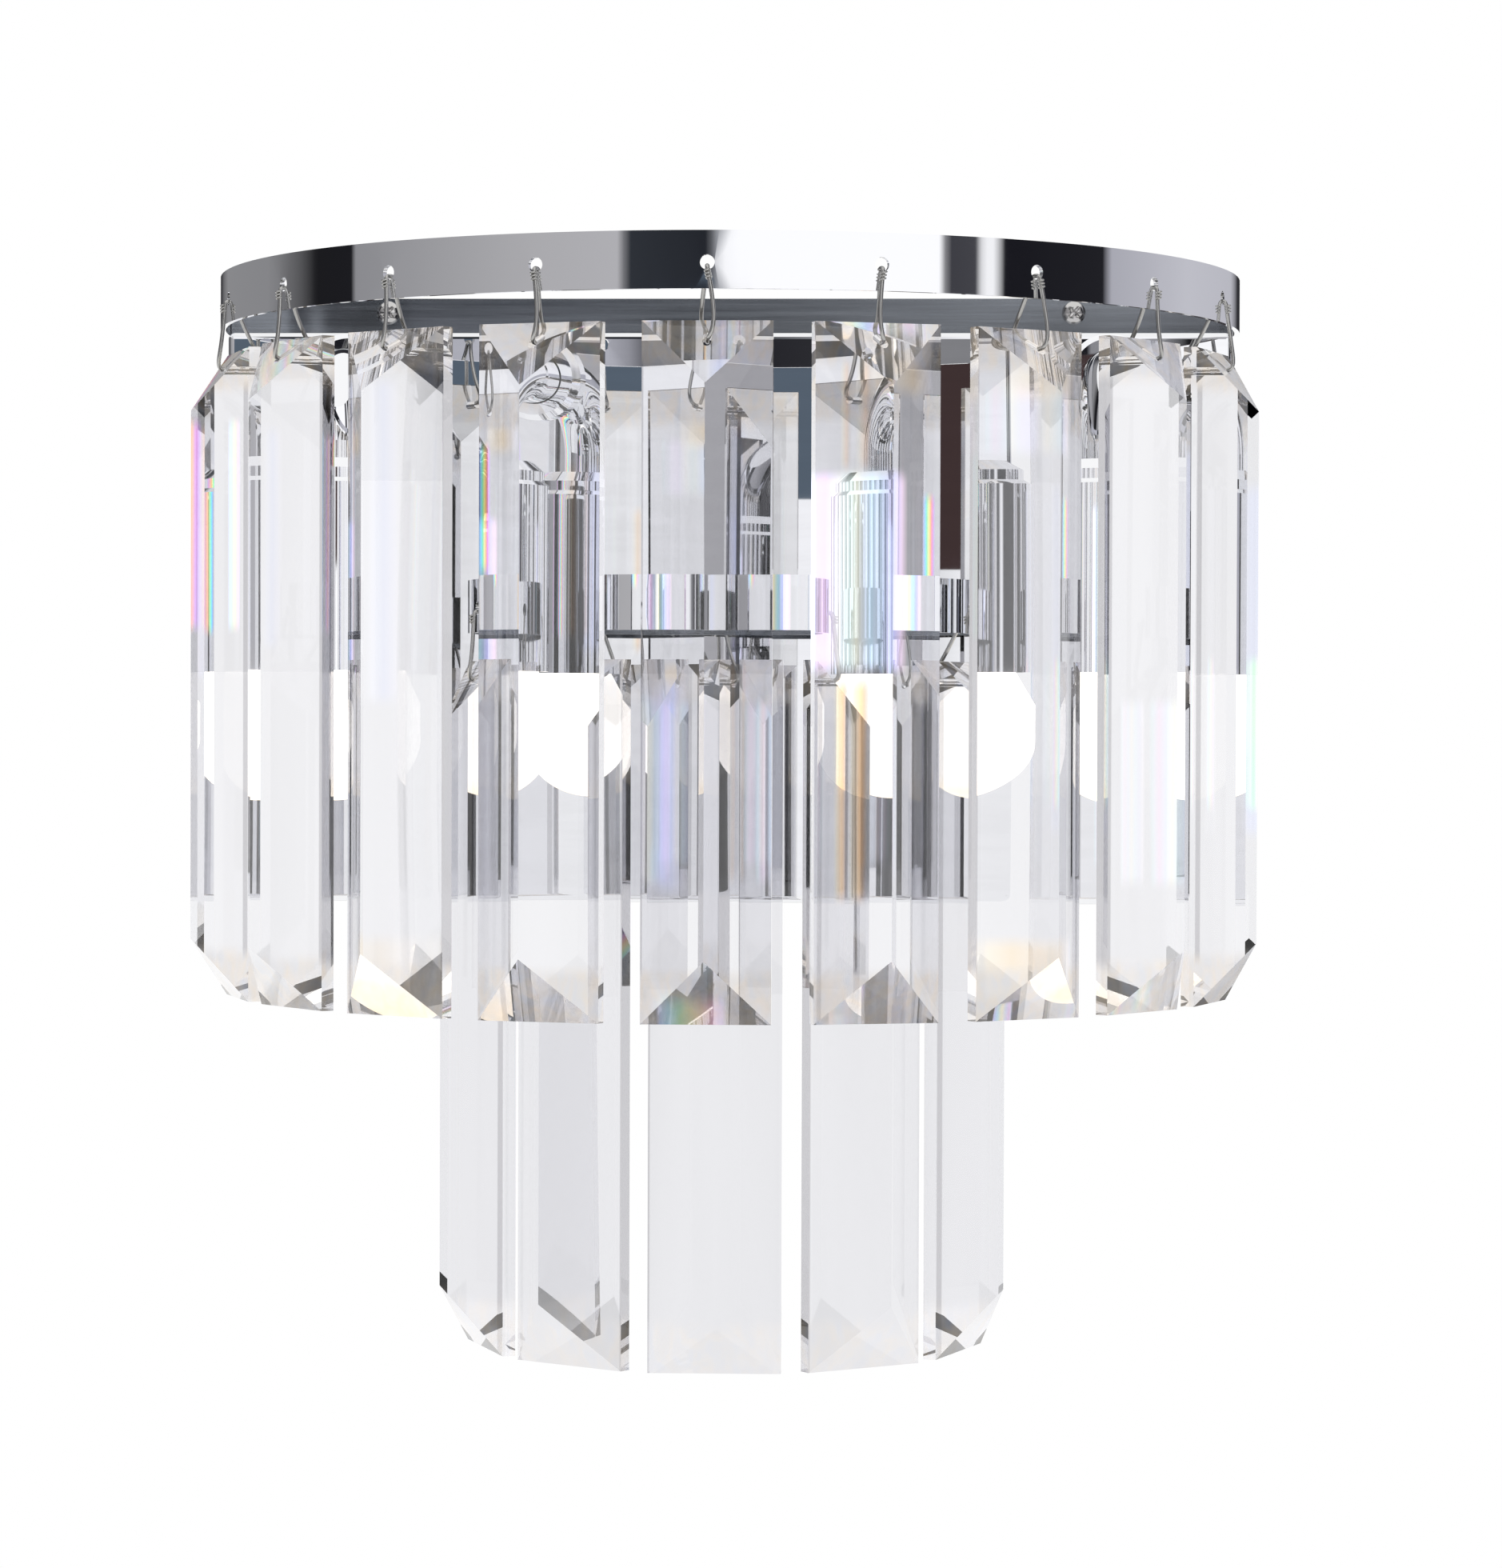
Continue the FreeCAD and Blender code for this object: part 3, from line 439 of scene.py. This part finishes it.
def clear_crystal(node):
    """Clear ground glass tinted with painted shade, with painted fire, a painted shade line along the
    inner edge, and painted shade and glowing painted glints on the end facets.
    """
    material, nodes = new_material(f"{node}_glass")
    # The glass gives off painted light: the painted glow of the fire and of the end facets' glints.
    shader = nodes.shader(Roughness=0.0, IOR=GLASS_IOR, Transmission_Weight=1.0, Emission_Strength=1.0)
    tier = tier_of(node)
    tint_and_shade = GLASS_TINT_AND_SHADE[tier]
    painted_fire = PAINTED_FIRE.get(node, [])
    spot, angle = own_frame(node)
    across, up = crystal_axes(nodes, spot, angle)

    streaks = nodes.noise(60.0, detail=3.0, stretch=(1.0, 1.0, 0.12))
    wobble = nodes.math("MULTIPLY_ADD", streaks, STREAK_WOBBLE, -STREAK_WOBBLE / 2)
    colour = nodes.ramp(streaks, [(0.35, (*tint_and_shade, 1.0)), (0.62, scaled(tint_and_shade, STREAK_LIFT))])
    colour, painted_glow = paint_fire(nodes, painted_fire, nodes.math("ADD", across, wobble), up, colour)

    # Painted shade: a dark line along the edge nearer the lamp's middle.
    edge = nodes.math("MULTIPLY", inner_edge_shade(nodes, node, spot, across), EDGE_SHADE_STRENGTH)
    colour = nodes.blend(edge, colour, EDGE_SHADE_COLOUR)

    ends = end_facets(nodes, node, up)
    # The painted glints' noise. Its scale goes with the painted fire, so that the glints differ from one
    # crystal to the next.
    glints = nodes.noise(150.0 + len(painted_fire) * 9.0, stretch=(1.0, 1.0, 0.5))
    painted_glints = nodes.ramp(glints, PAINTED_FACET_GLINTS)
    shade = scaled(tint_and_shade, FACET_PAINTED_SHADE)
    facet_shade_and_glints = nodes.ramp(glints, [(0.4, shade), (0.5, scaled(shade, 1.06, 0.98, 0.88)), (0.62, shade)])
    colour = nodes.blend(nodes.math("MULTIPLY", ends, FACET_SHADE_DEPTH[tier]), colour, facet_shade_and_glints)
    nodes.join(colour, shader.inputs["Base Color"])
    # The end facets' painted glints glow.
    painted_glow = nodes.blend(nodes.math("MULTIPLY", ends, FACET_GLINT_GLOW), painted_glow, painted_glints)
    nodes.join(painted_glow, shader.inputs["Emission Color"])
    return material


def make_materials():
    along_x, even = (0.02, 1.0, 1.0), (1.0, 1.0, 1.0)
    return {
        "chrome": polished_chrome("polished_chrome", (0.93, 0.935, 0.95), 0.015, 0.05),
        "mirror": mirror_chrome("mirror_chrome", (0.90, 0.905, 0.92)),
        "strip": brushed_steel("brushed_strip", (0.36, 0.385, 0.42), along_x, roughness=0.24),
        "screw": polished_chrome("plated_screw", (0.62, 0.61, 0.60), 0.10, 0.22),
        "wire": polished_chrome("bright_wire", (0.47, 0.465, 0.45), 0.16, 0.28),
        "zinc": brushed_steel("zinc_steel", (0.62, 0.63, 0.64), even, roughness=0.32),
        "brass": brushed_steel("screw_brass", (0.80, 0.62, 0.32), even, roughness=0.25),
        "bulb": lit_bulb("lit_bulb"),
        "socket": moulded_plastic("socket_plastic", (0.88, 0.87, 0.83)),
        "terminal": moulded_plastic("terminal_plastic", (0.90, 0.90, 0.88)),
    }


# ---------------------------------------------------------------- the CAD nodes' looks

FINISH = {
    "wall_bracket": "zinc", "terminal_block": "terminal", "earth_screw": "brass",
    "back_pan": "mirror", "upper_band": "chrome", "lower_band": "chrome",
    "upper_strip": "strip", "lower_strip": "strip",
    "upper_strip_screws": "chrome", "lower_strip_screws": "chrome",
}
LAMP_FINISH = {
    "lamp_arm": "chrome", "arm_nut": "zinc", "arm_rosette": "chrome", "lamp_collar": "chrome",
    "lamp_sleeve": "chrome", "lamp_socket": "socket", "bulb_cap": "brass", "bulb_glass": "bulb",
}

# How wide each softened edge is, in millimetres.
BAND_EDGE = 0.25
SLEEVE_EDGE = 0.3
COLLAR_EDGE = 0.4
CRYSTAL_EDGE = 0.22


def dress(node, material):
    """Give a CAD node one material."""
    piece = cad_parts[node]
    piece.data.materials.clear()
    piece.data.materials.append(material)


def soften(node, width, segments=2):
    """A fine ground edge on a CAD node."""
    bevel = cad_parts[node].modifiers.new("edge", "BEVEL")
    bevel.width = width * MM
    bevel.segments = segments
    bevel.limit_method = "ANGLE"
    bevel.angle_limit = math.radians(20)


def dress_all(materials):
    for node, finish in FINISH.items():
        dress(node, materials[finish])
    for node in ("upper_band", "lower_band", "upper_strip", "lower_strip"):
        soften(node, BAND_EDGE)
    for side in SIDES:
        for part, finish in LAMP_FINISH.items():
            dress(f"{part}_{side}", materials[finish])
        soften(f"lamp_sleeve_{side}", SLEEVE_EDGE)
        soften(f"lamp_collar_{side}", COLLAR_EDGE)
    for tier in COUNT:
        for node in hanging(tier, "crystal"):
            dress(node, clear_crystal(node))
            soften(node, CRYSTAL_EDGE, segments=1)


# ---------------------------------------------------------------- hooks and screws

# The hooks' wire, in millimetres. The insets are in from the CAD hook's ends and sides, so that the
# bent wire runs about in the middle of the CAD one. The winding lies at the leg in front of the band.
WIRE_RADIUS = 0.48
END_INSET = 0.5
SIDE_INSET = 0.55
HEAD_REACH = 1.45
HEAD_CROWN = 0.2
HOLE_STUB = 0.4
FOOT_RISE = 0.4
LEAST_BOW, MORE_BOW = 1.0, 0.7
WINDING_RADIUS = 0.62
WINDING_WIRE = 0.22
WINDING_OUT = 0.4
WINDING_TOP, WINDING_LENGTH = 0.7, 1.8
WINDING_POINTS, POINTS_A_TURN = 22, 8


def wire_piece(name, points, radius, material, body):
    """A smooth bent wire through points, on a body."""
    curve = bpy.data.curves.new(name, "CURVE")
    curve.dimensions = "3D"
    curve.bevel_depth = radius
    curve.bevel_resolution = 3
    curve.resolution_u = 8
    curve.use_fill_caps = True
    spline = curve.splines.new("NURBS")
    spline.points.add(len(points) - 1)
    for point, spot in zip(spline.points, points):
        point.co = (*spot, 1.0)
    spline.order_u = 4
    spline.use_endpoint_u = True
    curve.materials.append(material)
    piece = add_object(name, curve)
    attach(piece, body)
    return piece


def make_hook(node, material, chance):
    """A hairpin of wire: hung in the band's hole, through the crystal's, its end wound round itself."""
    tier = tier_of(node)
    _, angle = own_frame(node)
    outward = Vector((math.sin(angle), -math.cos(angle), 0))
    along = Vector((math.cos(angle), math.sin(angle), 0))
    centre = band_centre(tier)
    radius = BAND_RADIUS[tier] * MM - BAND_WALL / 2 * MM
    corners = [vertex.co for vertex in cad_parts[node].data.vertices]
    reach = [(corner - centre).dot(outward) for corner in corners]
    heights = [corner.z for corner in corners]
    top, foot = max(heights) - END_INSET * MM, min(heights) + END_INSET * MM
    front, rear = max(reach) - SIDE_INSET * MM - radius, min(reach) + SIDE_INSET * MM - radius
    rise, head = top - foot, HEAD_REACH * MM
    bow = (LEAST_BOW + MORE_BOW * chance.random()) * MM * chance.choice((-1, 1))

    def at(outwards, sideways, height):
        """A point by its place out from the band, along it and in height."""
        return centre + outward * (radius + outwards) + along * sideways + Vector((0, 0, height))

    def leg(tip, neck, sway):
        """One leg, from the crystal's hole up to the head: how far out its tip and its neck stand."""
        return [
            at(math.copysign(HOLE_STUB * MM, neck), 0, foot), at(tip * 0.6, 0, foot),
            at(tip, sway * 0.3, foot + FOOT_RISE * MM),
            at(tip * 0.98, sway * 0.9, foot + rise * 0.18),
            at(neck + 0.6 * (tip - neck), sway, foot + rise * 0.4),
            at(neck * 1.1, sway * 0.3, foot + rise * 0.85), at(neck, 0, top),
            at(neck * 0.4, 0, top + HEAD_CROWN * MM)]

    body = f"{node}_body"
    points = leg(rear, -head, bow) + leg(front, head, -bow)[::-1]
    wire = wire_piece(f"{node}_wire", points, WIRE_RADIUS * MM, material, body)
    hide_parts(node)

    winding = []
    for index in range(WINDING_POINTS):
        turn = index * math.tau / POINTS_A_TURN
        share = index / (WINDING_POINTS - 1)
        middle = at(head + WINDING_OUT * MM, -bow * 0.25 * share,
                    top - (WINDING_TOP + WINDING_LENGTH * share) * MM)
        winding.append(middle + (along * math.cos(turn) + outward * math.sin(turn)) * WINDING_RADIUS * MM)
    wire_piece(f"{node}_winding", winding, WINDING_WIRE * MM, material, body)


# The strips' screws, in millimetres: the dome's height, the seat's place behind the head's front,
# and the shank.
SCREW_DOME = 1.75
SCREW_SEAT = 1.9
SCREW_SHANK = 1.45
SCREW_RINGS, SCREW_SECTORS = 20, 56

# Shares of the head's radius: the recess's half width, the slope of its sides and its reach.
RECESS_WIDTH, RECESS_SLOPE, RECESS_REACH = 0.14, 0.05, 0.62
# Shares of the dome's height: how deep the recess is, and how far the dome falls to its rim.
RECESS_DEPTH, DOME_FALL = 0.6, 0.85


def make_screws(node, material):
    """Two pan-head screws with cross recesses, their heads towards the front, on one mesh."""
    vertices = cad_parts[node].data.vertices
    turns = [sector * math.tau / SCREW_SECTORS for sector in range(SCREW_SECTORS)]
    verts, faces = [], []
    for side in (-1, 1):
        corners = [vertex.co for vertex in vertices if vertex.co.x * side > 0]
        lows = Vector([min(corner[axis] for corner in corners) for axis in range(3)])
        highs = Vector([max(corner[axis] for corner in corners) for axis in range(3)])
        middle, radius = (lows + highs) / 2, (highs.x - lows.x) / 2
        height, seat, shank = SCREW_DOME * MM, lows.y + SCREW_SEAT * MM, SCREW_SHANK * MM
        start = len(verts)
        for ring in range(SCREW_RINGS + 1):
            share = ring / SCREW_RINGS
            dome = height * (1 - DOME_FALL * share ** 3)
            fade = max(0.0, 1 - (share / RECESS_REACH) ** 3)
            for turn in turns:
                x, z = radius * share * math.cos(turn), radius * share * math.sin(turn)
                arm = min(abs(x + z), abs(x - z)) / math.sqrt(2)
                deep = max(0.0, min(1.0, (radius * RECESS_WIDTH - arm) / (radius * RECESS_SLOPE))) * fade
                verts.append((middle.x + x, seat - dome + deep * height * RECESS_DEPTH, middle.z + z))
        for reach, depth in ((radius, seat), (shank, seat), (shank, highs.y)):
            for turn in turns:
                verts.append((middle.x + reach * math.cos(turn), depth, middle.z + reach * math.sin(turn)))
        for ring in range(SCREW_RINGS + 3):
            first, second = start + ring * SCREW_SECTORS, start + (ring + 1) * SCREW_SECTORS
            for sector in range(SCREW_SECTORS):
                after = (sector + 1) % SCREW_SECTORS
                faces.append((first + sector, second + sector, second + after, first + after))
    piece = add_mesh(f"{node}_heads", verts, faces, material)
    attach(piece, "mounting_frame")
    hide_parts(node)


def make_small_parts(materials):
    chance = random.Random(SEED)
    for tier in COUNT:
        for node in hanging(tier, "hook"):
            make_hook(node, materials["wire"], chance)
        make_screws(f"{tier}_strip_screws", materials["screw"])


# ---------------------------------------------------------------- light and stage

SOFT_LIGHT = (0.95, 0.97, 1.0, 1.0)
SOFT_STRENGTH = 0.85
FLOOR_REACH, FLOOR_BACK, FLOOR_LEVEL = 2.2, 0.85, -0.42
CARD_Y = -1.5

# The round wall that the metal reflects, in metres. It is open between its two zones, because that
# part would darken the lower crystals' faces.
WALL_REACH = 1.6
WALL_ZONES = ((-1.3, -0.45), (0.0, 1.5))
WALL_SECTORS = 96

# The wall's shade by direction: degrees from straight in front of the lamp, + to the right.
WALL_SHADES = [
    (-180, (0.02, 0.02, 0.025)), (-160, (0.03, 0.03, 0.035)), (-148, (0.26, 0.26, 0.27)),
    (-118, (0.25, 0.25, 0.26)), (-104, (0.10, 0.10, 0.105)), (-98, (0.012, 0.012, 0.014)),
    (-85.5, (0.012, 0.012, 0.015)), (-84.5, (0.27, 0.27, 0.285)), (-40, (0.43, 0.425, 0.44)),
    (-21, (0.46, 0.455, 0.475)), (-19, (0.030, 0.034, 0.042)), (-2, (0.018, 0.020, 0.026)),
    (0.5, (0.40, 0.41, 0.44)), (3, (1.05, 1.05, 1.07)), (47, (1.05, 1.05, 1.07)),
    (48, (0.05, 0.05, 0.06)), (55.5, (0.06, 0.06, 0.07)), (56.5, (0.95, 0.95, 0.97)),
    (60, (0.95, 0.95, 0.97)), (61, (0.010, 0.010, 0.014)), (89, (0.016, 0.016, 0.020)),
    (91, (0.42, 0.42, 0.47)), (120, (0.55, 0.55, 0.60)), (150, (0.50, 0.50, 0.55)),
    (160, (0.03, 0.03, 0.035)), (180, (0.02, 0.02, 0.025))]


def make_world():
    """White as seen directly, in metal and through glass; a soft pale light on the rest."""
    world = bpy.data.worlds.new("studio")
    bpy.context.scene.world = world
    nodes = Nodes(world, "ShaderNodeOutputWorld")
    shown = nodes.any_ray("Is Camera Ray", "Is Glossy Ray", "Is Transmission Ray")
    soft = nodes.add("ShaderNodeBackground", Color=SOFT_LIGHT, Strength=SOFT_STRENGTH)
    white = nodes.add("ShaderNodeBackground", Color=grey(1.0), Strength=1.0)
    nodes.mix_shaders(shown, soft, white)


def make_floor():
    """A pale floor that ends behind the object; metal and glass show it white."""
    material, nodes = new_material("floor_paint")
    paint = nodes.shader(Base_Color=grey(0.9), Roughness=0.7)
    indirect = nodes.any_ray("Is Glossy Ray", "Is Transmission Ray")
    nodes.mix_shaders(indirect, paint, nodes.add("ShaderNodeEmission"))
    left, right, front, back = -FLOOR_REACH, FLOOR_REACH, -FLOOR_REACH, FLOOR_BACK
    corners = [(left, front), (right, front), (right, back), (left, back)]
    verts = [(x, y, FLOOR_LEVEL) for x, y in corners]
    add_mesh("floor", verts, [(0, 1, 2, 3)], material)


def only_reflected(piece):
    """Seen in reflections, and not by the camera, through glass, or as light and shadow."""
    piece.visible_camera = False
    piece.visible_diffuse = False
    piece.visible_transmission = False
    piece.visible_shadow = False


def card(name, left, right, low, high, colour):
    """An upright studio card behind the camera."""
    material, nodes = new_material(f"{name}_paint")
    nodes.emission((*colour, 1.0))
    corners = [(left, low), (right, low), (right, high), (left, high)]
    verts = [(x, CARD_Y, z) for x, z in corners]
    only_reflected(add_mesh(name, verts, [(0, 1, 2, 3)], material))


def make_surround():
    """A round wall of studio panels that only reflections show."""
    material, nodes = new_material("surround_panels")
    mapping = nodes.add("ShaderNodeMapping", Rotation=(0.0, 0.0, math.pi / 2))
    nodes.join(nodes.place(), mapping.inputs["Vector"])
    gradient = nodes.add("ShaderNodeTexGradient", gradient_type="RADIAL")
    nodes.join(mapping.outputs["Vector"], gradient.inputs["Vector"])
    stops = [(0.5 + angle / 360, (*colour, 1.0)) for angle, colour in WALL_SHADES]
    nodes.emission(nodes.ramp(gradient.outputs["Fac"], stops))

    verts, faces = [], []
    for low, high in WALL_ZONES:
        start = len(verts)
        for sector in range(WALL_SECTORS):
            turn = sector * math.tau / WALL_SECTORS
            x, y = WALL_REACH * math.sin(turn), -WALL_REACH * math.cos(turn)
            verts += [(x, y, low), (x, y, high)]
            first, after = start + sector * 2, start + (sector + 1) % WALL_SECTORS * 2
            faces.append((first, after, after + 1, first + 1))
    only_reflected(add_mesh("surround", verts, faces, material))


def area_light(name, spot, target, size, power):
    data = bpy.data.lights.new(name, "AREA")
    data.shape = "RECTANGLE"
    data.size, data.size_y = size
    data.energy = power
    light = add_object(name, data)
    light.visible_glossy = False
    light.visible_transmission = False
    direction = Vector(target) - Vector(spot)
    light.matrix_world = Matrix.Translation(spot) @ direction.to_track_quat("-Z", "Y").to_matrix().to_4x4()


def make_studio():
    make_world()
    make_floor()
    middle = (0.0, -0.05, 0.0)
    area_light("key", (-0.9, -1.3, 0.9), middle, size=(0.8, 0.8), power=12.0)
    area_light("fill", (1.1, -1.0, 0.3), middle, size=(0.7, 1.0), power=6.0)
    make_surround()
    card("slate_card", left=-0.36, right=-0.01, low=0.10, high=0.196, colour=(0.10, 0.13, 0.17))
    card("white_card", left=-0.36, right=0.03, low=-0.16, high=0.10, colour=(0.97, 0.97, 1.0))
    card("brown_card", left=0.03, right=0.17, low=0.06, high=0.196, colour=(0.055, 0.035, 0.035))
    card("low_brown_card", left=0.075, right=0.26, low=-0.15, high=-0.02, colour=(0.05, 0.045, 0.05))


# ---------------------------------------------------------------- the scene

def main():
    make_camera()
    materials = make_materials()
    dress_all(materials)
    make_small_parts(materials)
    make_studio()
    bpy.context.scene.view_settings.view_transform = "Standard"


main()
